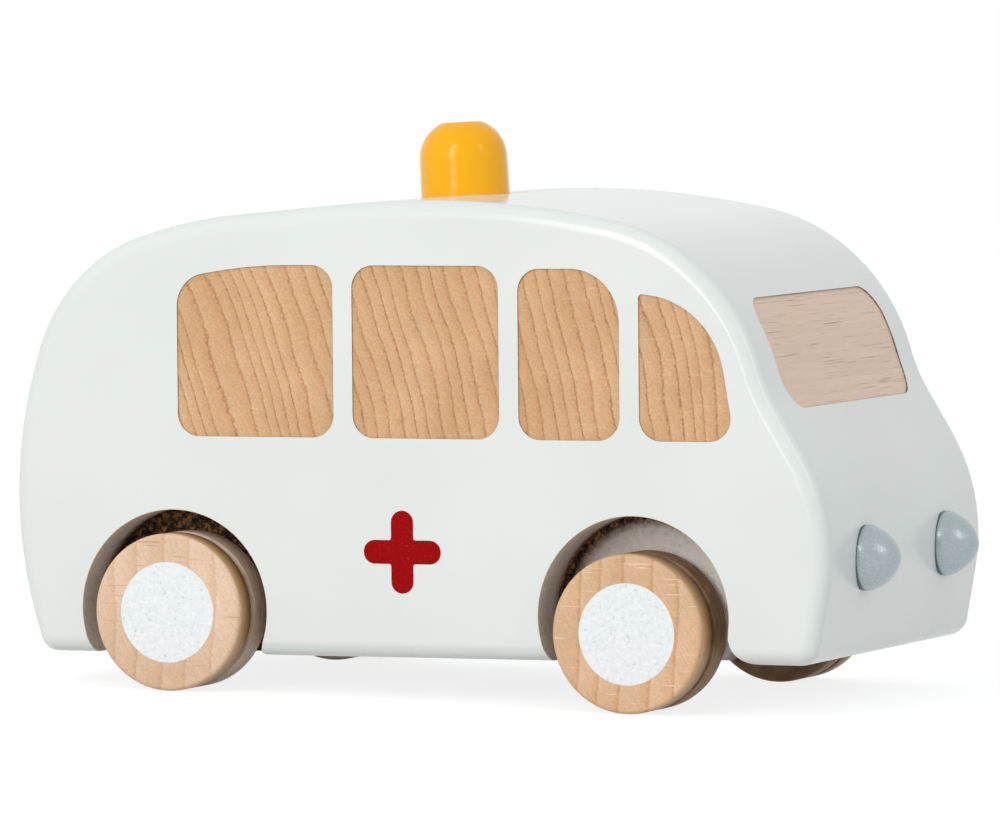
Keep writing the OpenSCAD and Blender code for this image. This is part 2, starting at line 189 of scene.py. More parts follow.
def end_grain(name, heart, ring_step, shades, line_strength, ray_strength, grit_strength):
    """Beech end grain with its heart and ring step in millimetres, and its five shades."""
    early, middling, late, line_shade, ray_shade = shades
    made, tree, shader, mm = finish(name, Roughness=0.62, IOR=1.5)
    teeth = wire(tree, "TexNoise", {
        "Vector": mm, "Scale": 1 / RING_TOOTH, "Detail": 3.0, "Roughness": 0.6})
    sway = wire(tree, "TexNoise", {"Vector": mm, "Scale": 1 / RING_SWAY, "Detail": 1.0})
    spread = wire(tree, "VectorMath", {0: mm, 1: (heart[0], 0.0, heart[1])}, operation="SUBTRACT")
    flat = wire(tree, "VectorMath", {0: spread, 1: (1.0, 0.0, 1.0)}, operation="MULTIPLY")
    radius = wire(tree, "VectorMath", {0: flat}, operation="LENGTH").outputs["Value"]

    # Growth rings: some years are wide and some narrow, and each ends in a dark line
    season = wire(tree, "Math", {0: radius, 1: 1 / RING_SEASONS}, operation="MULTIPLY")
    uneven = wire(tree, "TexNoise", {"W": season, "Scale": 1.0, "Detail": 0.0},
                  noise_dimensions="1D")
    spaced = wire(tree, "Math", {0: uneven, 1: 3.0, 2: radius}, operation="MULTIPLY_ADD")
    shifted = wire(tree, "Math", {0: teeth, 1: 1.2, 2: spaced}, operation="MULTIPLY_ADD")
    years = wire(tree, "Math", {0: sway, 1: 3.0, 2: shifted}, operation="MULTIPLY_ADD")
    count = wire(tree, "Math", {0: years, 1: ring_step}, operation="DIVIDE")
    growth = wire(tree, "Math", {0: count}, operation="FRACT")
    year = wire(tree, "Math", {0: count}, operation="FLOOR")
    vigour = wire(tree, "TexWhiteNoise", {"W": year}, noise_dimensions="1D").outputs["Value"]
    band = wire(tree, "ValToRGB", {0: growth}, [(0.0, early), (0.55, middling), (1.0, late)])
    line = wire(tree, "ValToRGB", {0: growth}, [
        (0.0, "#808080"), (0.05, "#000000"), (0.84, "#000000"), (0.95, "#ffffff"),
        (1.0, "#808080")])
    depth = wire(tree, "MapRange", {
        "Value": vigour, "To Min": 0.55 * line_strength, "To Max": line_strength})
    ragged = wire(tree, "TexNoise", {"Vector": mm, "Scale": 1 / RING_TOOTH, "Detail": 2.0})
    broken = wire(tree, "MapRange", {"Value": ragged, "From Min": 0.25, "From Max": 0.55})
    cut = wire(tree, "Math", {0: line, 1: depth}, operation="MULTIPLY")
    drawn = wire(tree, "Math", {0: cut, 1: broken}, operation="MULTIPLY")
    ringed = wire(tree, "Mix", {SHARE: drawn, COLOUR_A: band, COLOUR_B: colour(line_shade)},
                  data_type="RGBA")

    # Rays: short thin marks that point to the heart
    towards = wire(tree, "VectorMath", {0: flat}, operation="NORMALIZE")
    angle = wire(tree, "SeparateXYZ", {0: towards}).outputs["Z"]
    around = wire(tree, "Math", {0: angle, 1: radius}, operation="MULTIPLY")
    ray_place = wire(tree, "CombineXYZ", {
        "X": wire(tree, "Math", {0: radius, 1: 1 / RAY_LENGTH}, operation="MULTIPLY"),
        "Y": wire(tree, "Math", {0: around, 1: 1 / RAY_WIDTH}, operation="MULTIPLY"),
    })
    rays = wire(tree, "TexNoise", {"Vector": ray_place, "Scale": 1.0, "Detail": 1.0})
    ray = wire(tree, "MapRange", {
        "Value": rays, "From Min": 0.66, "From Max": 0.74, "To Max": ray_strength})
    rayed = wire(tree, "Mix", {SHARE: ray, COLOUR_A: ringed, COLOUR_B: colour(ray_shade)},
                 data_type="RGBA")

    # Pores, cloudy tones and sanding strokes
    grit = wire(tree, "TexNoise", {"Vector": mm, "Scale": 1 / WOOD_GRIT, "Detail": 2.0})
    speck = wire(tree, "MapRange", {
        "Value": grit, "From Min": 0.3, "From Max": 0.7,
        "To Min": 1 - grit_strength, "To Max": 1 + grit_strength})
    cloud = wire(tree, "TexNoise", {"Vector": mm, "Scale": 1 / TONE_CLOUD, "Detail": 2.0})
    tone_span = (cloud, (0.32, 0.32, 0.32), (0.68, 0.68, 0.68), TONE_DEEP, TONE_PALE)
    tone = wire(tree, "MapRange", dict(zip(VECTOR_RANGE, tone_span)), data_type="FLOAT_VECTOR")
    slanted = wire(tree, "VectorRotate", {"Vector": mm, "Angle": STROKE_SLANT},
                   rotation_type="Y_AXIS")
    stroke = wire(tree, "VectorMath", {0: slanted, 1: STROKE_STEPS}, operation="MULTIPLY")
    strokes = wire(tree, "TexNoise", {"Vector": stroke, "Scale": 1.0, "Detail": 1.0})
    sanding = wire(tree, "MapRange", {
        "Value": strokes, "From Min": 0.35, "From Max": 0.7, "To Min": 0.97, "To Max": 1.06})
    light = wire(tree, "Math", {0: speck, 1: sanding}, operation="MULTIPLY")
    toned = wire(tree, "VectorMath", {0: rayed, 1: tone}, operation="MULTIPLY")
    wood = wire(tree, "VectorMath", {0: toned, "Scale": light}, operation="SCALE")
    relief = wire(tree, "Math", {0: drawn, 1: -1.5, 2: grit}, operation="MULTIPLY_ADD")
    skin = wire(tree, "Bump", {"Height": relief, "Strength": 0.5, "Distance": 0.04 * MM})
    lead(tree, shader, Base_Color=wood, Normal=skin)
    return made


side_window_wood = end_grain(
    "beech_end_grain_windows", heart=(-161.0, 18.0), ring_step=2.8,
    shades=("#dbb184", "#d6aa7b", "#cf9f6f", "#996639", "#e8c9a2"),
    line_strength=0.9, ray_strength=0.3, grit_strength=0.1)

# Long-grain beech under the windscreen: pale, planed and sanded, with dark pore flecks along the grain.
SCREEN_BANDS = grain_steps(around=1.1, across=30.0)
SCREEN_FLECKS = grain_steps(around=0.24, across=16.0)

windscreen_wood, tree, shader, mm = finish("beech_long_grain_windscreen", Roughness=0.6, IOR=1.5)
band_place = wire(tree, "VectorMath", {0: mm, 1: SCREEN_BANDS}, operation="MULTIPLY")
bands = wire(tree, "TexNoise", {"Vector": band_place, "Scale": 1.0, "Detail": 3.0})
base = wire(tree, "ValToRGB", {0: bands}, [(0.3, "#edcfb8"), (0.7, "#f4d9c3")])
fleck_place = wire(tree, "VectorMath", {0: mm, 1: SCREEN_FLECKS}, operation="MULTIPLY")
flecks = wire(tree, "TexNoise", {"Vector": fleck_place, "Scale": 1.0, "Detail": 2.0})
fleck = wire(tree, "MapRange", {
    "Value": flecks, "From Min": 0.6, "From Max": 0.72, "To Max": 0.6})
wood = wire(tree, "Mix", {SHARE: fleck, COLOUR_A: base, COLOUR_B: colour("#9e7856")},
            data_type="RGBA")
relief = wire(tree, "Math", {0: fleck, 1: -1.0, 2: bands}, operation="MULTIPLY_ADD")
skin = wire(tree, "Bump", {"Height": relief, "Strength": 0.4, "Distance": 0.03 * MM})
lead(tree, shader, Base_Color=wood, Normal=skin)

# A thin dark brown line on the rims of the windows and on the walls of the windscreen's recess.
RIM_MOTTLE = 1.2

window_rim, tree, shader, mm = finish("dark_window_rim", Roughness=0.8)
dark_mottle = wire(tree, "TexNoise", {"Vector": mm, "Scale": 1 / RIM_MOTTLE, "Detail": 2.0})
rim = wire(tree, "ValToRGB", {0: dark_mottle}, [(0.35, "#6b523c"), (0.65, "#b39a80")])
lead(tree, shader, Base_Color=rim)

# Bare wood on the rims of the pockets: the bit broke the edge of the coat and left a thin pale line.
RIM_CHIP = 1.5

chipped_edge, tree, shader, mm = finish("chipped_pocket_edge", Roughness=0.7)
chips = wire(tree, "TexNoise", {"Vector": mm, "Scale": 1 / RIM_CHIP, "Detail": 2.0})
bare_edge_and_foot_shade = wire(tree, "ValToRGB", {0: chips}, [(0.35, "#efe6d2"), (0.65, "#f4f0e4")])
lead(tree, shader, Base_Color=bare_edge_and_foot_shade)

# Drilled beech in the wheel pockets: rough fibre, scorched dark in the corner where the bit dwelt,
# with a mist of white lacquer over the walls near the side. The floors of the front pockets are white
# too: partly lacquer mist and partly painted light, which stands for light reaching into the pockets.
TORN_FIBRE = 0.9
BURN_DRIFT = 7.0
REAR_DWELL = -4.5
BURN_FADE = (5.5, 9.5)
WALL_MIST = (1.5, 5.0)
FLOOR_MIST_AND_LIGHT = (1.0, 3.0)
NOSE_MIST_AND_LIGHT = (-10.0, 12.0)
FLOOR_DEPTH = 0.2

drilled_wood, tree, shader, mm = finish("drilled_beech_pocket", Roughness=0.85)
axes = wire(tree, "SeparateXYZ", {0: mm})
in_front = wire(tree, "Math", {0: axes.outputs["X"], 1: 0.0}, operation="GREATER_THAN")
middles = {end: on_block(ahead, 0, up) / MM for end, (ahead, up) in POCKET_PLACES.items()}
pocket_x = wire(tree, "MapRange", {
    "Value": in_front, "To Min": middles["rear"].x, "To Max": middles["front"].x})
pocket_z = wire(tree, "MapRange", {
    "Value": in_front, "To Min": middles["rear"].z, "To Max": middles["front"].z})
middle = wire(tree, "CombineXYZ", {"X": pocket_x, "Z": pocket_z})
arm = wire(tree, "VectorMath", {0: mm, 1: middle}, operation="SUBTRACT")
across = wire(tree, "VectorMath", {0: arm, 1: (1.0, 0.0, 1.0)}, operation="MULTIPLY")
reach = wire(tree, "VectorMath", {0: across}, operation="LENGTH").outputs["Value"]
depth = wire(tree, "Math", {0: axes.outputs["Y"]}, operation="ABSOLUTE")
from_floor = wire(tree, "Math", {0: depth, 1: POCKET_FLOOR}, operation="SUBTRACT")
from_wall = wire(tree, "Math", {0: POCKET_RADIUS, 1: reach}, operation="SUBTRACT")
from_corner = wire(tree, "Math", {0: from_floor, 1: from_wall}, operation="ADD")
tear = wire(tree, "TexNoise", {
    "Vector": mm, "Scale": 1 / TORN_FIBRE, "Detail": 3.0, "Roughness": 0.65})
drift = wire(tree, "TexNoise", {"Vector": mm, "Scale": 1 / BURN_DRIFT, "Detail": 2.0})
ragged = wire(tree, "Math", {0: tear, 1: 4.0, 2: from_corner}, operation="MULTIPLY_ADD")
uneven = wire(tree, "Math", {0: drift, 1: 6.0, 2: ragged}, operation="MULTIPLY_ADD")
dwell = wire(tree, "MapRange", {"Value": in_front, "To Min": REAR_DWELL, "To Max": 0.0})
held = wire(tree, "Math", {0: uneven, 1: dwell}, operation="ADD")
burn = wire(tree, "MapRange", {
    "Value": held, "From Min": BURN_FADE[0], "From Max": BURN_FADE[1],
    "To Min": 1.0, "To Max": 0.0})
fibre = wire(tree, "ValToRGB", {0: tear}, [(0.3, "#8d6a48"), (0.7, "#b8946c")])
dark_mottle = wire(tree, "ValToRGB", {0: tear}, [(0.4, "#140c06"), (0.5, "#4a3019"), (0.61, "#a87848")])
burnt = wire(tree, "Mix", {SHARE: burn, COLOUR_A: fibre, COLOUR_B: dark_mottle}, data_type="RGBA")
on_wall = wire(tree, "MapRange", {
    "Value": from_floor, "From Min": WALL_MIST[0], "From Max": WALL_MIST[1], "To Max": 0.8})
# On the floors of the front pockets the white is partly lacquer mist and partly painted light, more of
# it towards the nose.
off_corner = wire(tree, "MapRange", {
    "Value": from_corner, "From Min": FLOOR_MIST_AND_LIGHT[0], "From Max": FLOOR_MIST_AND_LIGHT[1], "To Max": 1.0})
on_floor = wire(tree, "Math", {0: off_corner, 1: in_front}, operation="MULTIPLY")
noseward = wire(tree, "MapRange", {
    "Value": wire(tree, "SeparateXYZ", {0: arm}).outputs["X"],
    "From Min": NOSE_MIST_AND_LIGHT[0], "From Max": NOSE_MIST_AND_LIGHT[1], "To Min": 0.75, "To Max": 1.0})
floor_mist_and_light = wire(tree, "Math", {0: on_floor, 1: noseward}, operation="MULTIPLY")
is_floor = wire(tree, "Math", {0: from_floor, 1: FLOOR_DEPTH}, operation="LESS_THAN")
mist_and_light = wire(tree, "Mix", {SHARE: is_floor, NUMBER_A: on_wall, NUMBER_B: floor_mist_and_light},
            data_type="FLOAT")
patchy = wire(tree, "MapRange", {
    "Value": tear, "From Min": 0.25, "From Max": 0.5, "To Min": 0.72, "To Max": 1.0})
sprayed_and_lit = wire(tree, "Math", {0: mist_and_light, 1: patchy}, operation="MULTIPLY")
shown = wire(tree, "Mix", {SHARE: sprayed_and_lit, COLOUR_A: burnt, COLOUR_B: colour("#fbf9f3")},
             data_type="RGBA")
rough = wire(tree, "Math", {0: burn, 1: 0.6, 2: tear}, operation="MULTIPLY_ADD")
skin = wire(tree, "Bump", {"Height": rough, "Strength": 0.8, "Distance": 0.35 * MM})
lead(tree, shader, Base_Color=shown, Normal=skin)


def is_window(place, facing):
    """The bare wood of the side windows."""
    depth = abs(abs(place.y) - (BLOCK_HALF_WIDTH - COAT_DEPTH))
    return abs(facing.y) > SQUARE_ON and depth < FACE_SLACK


def is_window_rim(place, facing):
    """The edge of the coat round the side windows."""
    within = BLOCK_HALF_WIDTH - COAT_DEPTH < abs(place.y) < BLOCK_HALF_WIDTH
    return abs(facing.y) < EDGE_ON and within


def is_drilled(place, facing):
    """The walls and floors of the pockets, and the axle bores inside them."""
    if abs(place.y) < POCKET_FLOOR + FLOOR_SLACK and abs(facing.y) > SQUARE_ON:
        return True
    for ahead, up in POCKET_PLACES.values():
        arm = (place.x - ahead, place.z - up)
        within = math.hypot(*arm) < POCKET_RADIUS + FACE_SLACK
        inward = facing.x * arm[0] + facing.z * arm[1] < 0
        if within and inward and abs(facing.y) < EDGE_ON:
            return True
    return False


def is_windscreen(place, facing):
    """The middle of the bare wood of the windscreen."""
    lowest, highest = WINDSCREEN_HEIGHTS
    central = abs(place.y) < WINDSCREEN_MIDDLE and lowest < place.z < highest
    return facing.x > WINDSCREEN_SLANT and central


def copy_of(node, name, coats):
    """A copy of a CAD node as a new piece with these materials, merged and open in edit mode."""
    bpy.ops.object.select_all(action="DESELECT")
    piece = bpy.data.objects.new(name, frame["nodes"][node].data.copy())
    bpy.context.collection.objects.link(piece)
    bpy.context.view_layer.objects.active = piece
    piece.select_set(True)
    piece.data.materials.clear()
    for coat in coats:
        piece.data.materials.append(coat)
    bpy.ops.mesh.customdata_custom_splitnormals_clear()
    bpy.ops.object.mode_set(mode="EDIT")
    bpy.ops.mesh.select_mode(type="FACE")
    bpy.ops.mesh.select_all(action="SELECT")
    bpy.ops.mesh.remove_doubles(threshold=WELD * MM)
    return piece


block = copy_of("body", "white_block", (
    white_lacquer, side_window_wood, window_rim, drilled_wood, windscreen_wood, chipped_edge))
for slot, wanted in (
    (WINDOW_SLOT, is_window),
    (RIM_SLOT, is_window_rim),
    (DRILLED_SLOT, is_drilled),
    (WINDSCREEN_SLOT, is_windscreen),
):
    bpy.ops.mesh.select_all(action="DESELECT")
    for face in bmesh.from_edit_mesh(block.data).faces:
        facing = Matrix.Rotation(nose_up, 3, "Y") @ face.normal
        face.select_set(wanted(level_place(face.calc_center_median()), facing))
    bmesh.update_edit_mesh(block.data)
    if slot == WINDSCREEN_SLOT:
        bpy.ops.mesh.faces_select_linked_flat(sharpness=WINDSCREEN_BEND)
    block.active_material_index = slot
    bpy.ops.object.material_slot_assign()

# The walls of the windscreen's recess: small white faces next to its wood, and those in line with them
bpy.ops.mesh.select_all(action="DESELECT")
for edge in bmesh.from_edit_mesh(block.data).edges:
    if WINDSCREEN_SLOT in [face.material_index for face in edge.link_faces]:
        for face in edge.link_faces:
            small = face.calc_area() < RECESS_WALL_AREA * MM * MM
            if small and face.material_index == LACQUER_SLOT:
                face.select_set(True)
bpy.ops.mesh.faces_select_linked_flat(sharpness=RECESS_WALL_BEND)
block.active_material_index = RIM_SLOT
bpy.ops.object.material_slot_assign()

# The chipped rim of the pockets on the sides of the block
bpy.ops.mesh.select_all(action="SELECT")
bpy.ops.mesh.dissolve_limited(angle_limit=FLAT_WITHIN, delimit={"MATERIAL"})
bpy.ops.mesh.select_mode(type="EDGE")
bpy.ops.mesh.select_all(action="DESELECT")
for edge in bmesh.from_edit_mesh(block.data).edges:
    coats = {face.material_index for face in edge.link_faces}
    nearest = min(abs(corner.co.y) for corner in edge.verts)
    on_side = nearest > (BLOCK_HALF_WIDTH - POCKET_LIP) * MM
    edge.select_set(coats == {LACQUER_SLOT, DRILLED_SLOT} and on_side)
bpy.ops.mesh.bevel(offset=CHIPPED_EDGE * MM, segments=CHIPPED_EDGE_STEPS, affect="EDGES",
                   material=CHIPPED_SLOT)
bpy.ops.object.mode_set(mode="OBJECT")
bpy.ops.object.shade_smooth_by_angle(angle=BLOCK_CREASE)
bpy.ops.object.modifier_add(type="WEIGHTED_NORMAL")
block.modifiers[-1].keep_sharp = True
bpy.ops.object.modifier_apply(modifier=block.modifiers[-1].name)
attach(block, "block")
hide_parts("body")


# The red marks
# A plus with round arm ends, printed in red on each side of the block between the wheels.
# The ink lies on the lacquer as a thin dull film with a pebbled face.
PLUS_PLACE = (-2.4, 20.2)
PLUS_SPAN = 15.7
PLUS_ARM = 4.5
PLUS_FILM = 0.06
PLUS_END_ROUND = PLUS_ARM * 0.495
PLUS_END_STEPS = 12
PLUS_INNER_ROUND = 0.45
PLUS_INNER_STEPS = 4
PLUS_SLACK = 0.1
PLUS_CREASE = math.radians(30)
INK_PEBBLE = 0.45

red_ink, tree, shader, mm = finish("printed_red_ink", Specular_IOR_Level=0.05)
grit = wire(tree, "TexNoise", {"Vector": mm, "Scale": 1 / INK_PEBBLE, "Detail": 2.0})
ink = wire(tree, "ValToRGB", {0: grit}, [
    (0.3, "#960508"), (0.58, "#a5070a"), (0.66, "#a90f11"), (0.76, "#c23f3c")])
skin = wire(tree, "Bump", {"Height": grit, "Strength": 0.6, "Distance": 0.05 * MM})
dull = wire(tree, "MapRange", {"Value": grit, "To Min": 0.45, "To Max": 0.7})
lead(tree, shader, Base_Color=ink, Roughness=dull, Normal=skin)

for side, across in (("right", -1), ("left", 1)):
    bpy.ops.object.select_all(action="DESELECT")
    bpy.ops.mesh.primitive_plane_add(size=PLUS_ARM * MM)
    plus = bpy.context.object
    plus.name = plus.data.name = "red_plus_" + side
    reach = (PLUS_SPAN - PLUS_ARM) / 2 * MM
    bpy.ops.object.mode_set(mode="EDIT")
    bpy.ops.mesh.select_mode(type="EDGE")
    for step in (Vector((1, 0, 0)), Vector((-1, 0, 0)), Vector((0, 1, 0)), Vector((0, -1, 0))):
        bpy.ops.mesh.select_all(action="DESELECT")
        for edge in bmesh.from_edit_mesh(plus.data).edges:
            middle = (edge.verts[0].co + edge.verts[1].co) / 2
            edge.select_set((middle - step * PLUS_ARM / 2 * MM).length < PLUS_SLACK * MM)
        bpy.ops.mesh.extrude_region_move(TRANSFORM_OT_translate={"value": step * reach})
    bpy.ops.mesh.select_mode(type="VERT")
    for at_ends, rounding, steps in (
        (True, PLUS_END_ROUND, PLUS_END_STEPS),
        (False, PLUS_INNER_ROUND, PLUS_INNER_STEPS),
    ):
        bpy.ops.mesh.select_all(action="DESELECT")
        for corner in bmesh.from_edit_mesh(plus.data).verts:
            farthest = max(abs(corner.co.x), abs(corner.co.y))
            tip = farthest > (PLUS_SPAN / 2 - PLUS_SLACK) * MM
            inner = farthest < (PLUS_ARM / 2 + PLUS_SLACK) * MM
            corner.select_set(tip if at_ends else inner)
        bpy.ops.mesh.bevel(offset=rounding * MM, segments=steps, affect="VERTICES")
    bpy.ops.object.mode_set(mode="OBJECT")
    bpy.ops.object.modifier_add(type="SOLIDIFY")
    plus.modifiers[-1].thickness = PLUS_FILM * MM
    plus.modifiers[-1].offset = 1.0
    bpy.ops.object.modifier_apply(modifier=plus.modifiers[-1].name)
    stand = Matrix.Rotation(across * nose_up, 4, "Y") @ Matrix.Rotation(math.pi / 2, 4, "X")
    if side == "left":
        stand = Matrix.Rotation(math.pi, 4, "Z") @ stand
    place = on_block(PLUS_PLACE[0], across * BLOCK_HALF_WIDTH, PLUS_PLACE[1])
    plus.matrix_world = Matrix.Translation(place) @ stand
    bpy.ops.object.transform_apply(location=True, rotation=True, scale=True)
    bpy.ops.object.shade_smooth_by_angle(angle=PLUS_CREASE)
    plus.data.materials.append(red_ink)
    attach(plus, "block")


# The axles
# Two beech dowels that turn in the block's bores, with a fine grain along them.
# They show only in the slit behind each wheel.
DOWEL_GRAIN = grain_steps(around=0.6, across=20.0)

dowel_wood, tree, shader, mm = finish("beech_dowel", Roughness=0.6, IOR=1.5)
grain_place = wire(tree, "VectorMath", {0: mm, 1: DOWEL_GRAIN}, operation="MULTIPLY")
grain = wire(tree, "TexNoise", {"Vector": grain_place, "Scale": 1.0, "Detail": 3.0})
wood = wire(tree, "ValToRGB", {0: grain}, [(0.3, "#c39a6e"), (0.7, "#deba92")])
skin = wire(tree, "Bump", {"Height": grain, "Strength": 0.3, "Distance": 0.03 * MM})
lead(tree, shader, Base_Color=wood, Normal=skin)
for node in ("front_axle", "rear_axle"):
    frame["nodes"][node].material_slots[0].material = dowel_wood


# The wheels
# Each is turned from one piece of beech, with a groove round the tread that leaves two discs.
# The ends are bare and sanded, the treads have fine lathe streaks, some browning and painted light
# and shade, and a round spot of white paint covers the middle of the outer face.
WHEEL_RADIUS = 15.0
WHEEL_THICKNESS = 14.0
WHEEL_EDGE = 0.8
WHEEL_EDGE_STEPS = 5
WHEEL_CREASE = math.radians(40)
FACE_DISC = 5.9
GROOVE_WIDTH = 1.7
GROOVE_DEPTH = 2.0
GROOVE_LIP = 0.3
GROOVE_LIP_STEPS = 3
AXLE_BORE = 3.03
AXLE_BORE_DEPTH = 9.5
SPOT_RADIUS = 9.6
SPOT_FILM = 0.05
TURNING_STEPS = 128
SPOT_SLOT, INNER_SLOT, TREAD_SLOT = 1, 2, 3

# White paint on the outer faces: dabbed on end grain, so it is dull and pitted, with grey pores.
SPOT_GRIT = 0.75

spot_paint, tree, shader, mm = finish("white_spot_paint", Roughness=0.55, IOR=1.48)
grit = wire(tree, "TexNoise", {
    "Vector": mm, "Scale": 1 / SPOT_GRIT, "Detail": 4.0, "Roughness": 0.75})
shade = wire(tree, "ValToRGB", {0: grit}, [
    (0.29, "#b9bfc1"), (0.37, "#e9eff0"), (0.55, "#f3f7f7"), (0.7, "#ffffff")])
skin = wire(tree, "Bump", {"Height": grit, "Strength": 0.9, "Distance": 0.09 * MM})
lead(tree, shader, Base_Color=shade, Normal=skin)

# Beech on the inner discs, with fine lathe streaks round them. The colours carry painted light and
# shade: the rear discs are painted paler and the front discs darker, for the light in the pockets.
DISC_STREAKS = grain_steps(around=3.5, across=0.5)


def tread_in_painted_light(name, shades):
    """Turned beech with fine lathe streaks round the tread, in shades that carry painted light and
    shade.
    """
    made, tree, shader, mm = finish(name, Roughness=0.6, IOR=1.5)
    streak_place = wire(tree, "VectorMath", {0: mm, 1: DISC_STREAKS}, operation="MULTIPLY")
    streaks = wire(tree, "TexNoise", {"Vector": streak_place, "Scale": 1.0, "Detail": 3.0})
    wood = wire(tree, "ValToRGB", {0: streaks}, list(zip((0.3, 0.5, 0.7), shades)))
    skin = wire(tree, "Bump", {"Height": streaks, "Strength": 0.4, "Distance": 0.05 * MM})
    lead(tree, shader, Base_Color=wood, Normal=skin)
    return made


# Painted light on the rear discs and painted shade on the front discs.
inner_discs = {
    "rear": tread_in_painted_light("beech_rear_discs_painted_light", ("#cab09a", "#e2cbb7", "#ecd8c6")),
    "front": tread_in_painted_light("beech_front_discs_painted_shade", ("#6d4d34", "#93704f", "#a98764")),
}

# Beech on the outer discs, dark by the groove and pale towards the face: partly browning by the lathe
# tool, partly painted shade by the groove and painted light towards the face.
# The two distances are from the middle of the toy.
TREAD_STREAKS = grain_steps(around=3.0, across=0.6)
TREAD_BROWNED_AND_SHADED = 42.4
TREAD_PALE_AND_LIT = 48.2

outer_tread, tree, shader, mm = finish("browned_and_shaded_beech_outer_tread", Roughness=0.55, IOR=1.5)
sideways = wire(tree, "SeparateXYZ", {0: mm}).outputs["Y"]
outward = wire(tree, "Math", {0: sideways}, operation="ABSOLUTE")
streak_place = wire(tree, "VectorMath", {0: mm, 1: TREAD_STREAKS}, operation="MULTIPLY")
streaks = wire(tree, "TexNoise", {"Vector": streak_place, "Scale": 1.0, "Detail": 3.0})
browned_and_shaded = wire(tree, "Math", {0: streaks, 1: 2.0, 2: outward}, operation="MULTIPLY_ADD")
# Painted shade darkens the tread towards the groove, and painted light makes it pale towards the face.
reach = wire(tree, "MapRange", {
    "Value": browned_and_shaded, "From Min": TREAD_BROWNED_AND_SHADED, "From Max": TREAD_PALE_AND_LIT})
wood = wire(tree, "ValToRGB", {0: reach}, [
    (0.0, "#6f4d2d"), (0.3, "#a47c50"), (0.7, "#cba374"), (1.0, "#e3c095")])
skin = wire(tree, "Bump", {"Height": streaks, "Strength": 0.4, "Distance": 0.05 * MM})
lead(tree, shader, Base_Color=wood, Normal=skin)

wheel_woods = {
    "rear": end_grain(
        "beech_end_grain_rear_wheels", heart=(-460.0, 15.0), ring_step=5.2,
        shades=("#e8c8ac", "#e5c3a5", "#e0bb9a", "#c99d78", "#cba585"),
        line_strength=0.35, ray_strength=0.85, grit_strength=0.06),
    "front": end_grain(
        "beech_end_grain_front_wheels", heart=(-360.0, 15.0), ring_step=5.0,
        shades=("#e3bd97", "#dfb790", "#d9ae84", "#bb8758", "#f2d6b2"),
        line_strength=0.6, ray_strength=0.9, grit_strength=0.06),
}


def quarter(middle, radius, start, steps):
    """Points of a quarter round, anticlockwise from a start angle in degrees."""
    angles = [math.radians(start + 90 * k / steps) for k in range(steps + 1)]
    return [(middle[0] + radius * math.cos(a), middle[1] + radius * math.sin(a)) for a in angles]


rim = WHEEL_RADIUS - WHEEL_EDGE
face = WHEEL_THICKNESS - SPOT_FILM
lip = WHEEL_RADIUS - GROOVE_LIP
groove = WHEEL_RADIUS - GROOVE_DEPTH
groove_top = WHEEL_THICKNESS - FACE_DISC
groove_bottom = groove_top - GROOVE_WIDTH
wheel_outline = [(0, AXLE_BORE_DEPTH), (AXLE_BORE, AXLE_BORE_DEPTH), (AXLE_BORE, 0)]
wheel_outline += quarter((rim, WHEEL_EDGE), WHEEL_EDGE, -90, WHEEL_EDGE_STEPS)
wheel_outline += quarter((lip, groove_bottom - GROOVE_LIP), GROOVE_LIP, 0, GROOVE_LIP_STEPS)
wheel_outline += [(groove, groove_bottom), (groove, groove_top)]
wheel_outline += quarter((lip, groove_top + GROOVE_LIP), GROOVE_LIP, -90, GROOVE_LIP_STEPS)
wheel_outline += quarter((rim, face - WHEEL_EDGE), WHEEL_EDGE, 0, WHEEL_EDGE_STEPS)
wheel_outline += [(SPOT_RADIUS, face), (SPOT_RADIUS - SPOT_FILM, WHEEL_THICKNESS)]
wheel_outline += [(0, WHEEL_THICKNESS)]

bpy.ops.object.select_all(action="DESELECT")
bpy.ops.mesh.primitive_plane_add(size=1 * MM)
pattern_wheel = bpy.context.object
bpy.ops.object.mode_set(mode="EDIT")
bpy.ops.mesh.select_mode(type="VERT")
bpy.ops.mesh.select_all(action="SELECT")
bpy.ops.mesh.merge(type="CENTER")
points = [Vector((radius, 0, height)) * MM for radius, height in wheel_outline]
bpy.ops.transform.translate(value=points[0])
for start, end in zip(points, points[1:]):
    bpy.ops.mesh.extrude_region_move(TRANSFORM_OT_translate={"value": end - start})
bpy.ops.mesh.select_all(action="SELECT")
bpy.ops.mesh.spin(steps=TURNING_STEPS, angle=2 * math.pi, center=(0, 0, 0), axis=(0, 0, 1))
bpy.ops.mesh.select_all(action="SELECT")
bpy.ops.mesh.remove_doubles(threshold=WELD * MM)
bpy.ops.mesh.normals_make_consistent(inside=False)
bpy.ops.object.mode_set(mode="OBJECT")
bpy.ops.object.shade_smooth_by_angle(angle=WHEEL_CREASE)
for polygon in pattern_wheel.data.polygons:
    height = polygon.center.z
    from_axle = polygon.center.xy.length
    if height < (groove_top + GROOVE_LIP) * MM:
        polygon.material_index = INNER_SLOT
    elif height < (face - WHEEL_EDGE) * MM and from_axle > rim * MM:
        polygon.material_index = TREAD_SLOT
    elif height > face * MM and from_axle < SPOT_RADIUS * MM:
        polygon.material_index = SPOT_SLOT

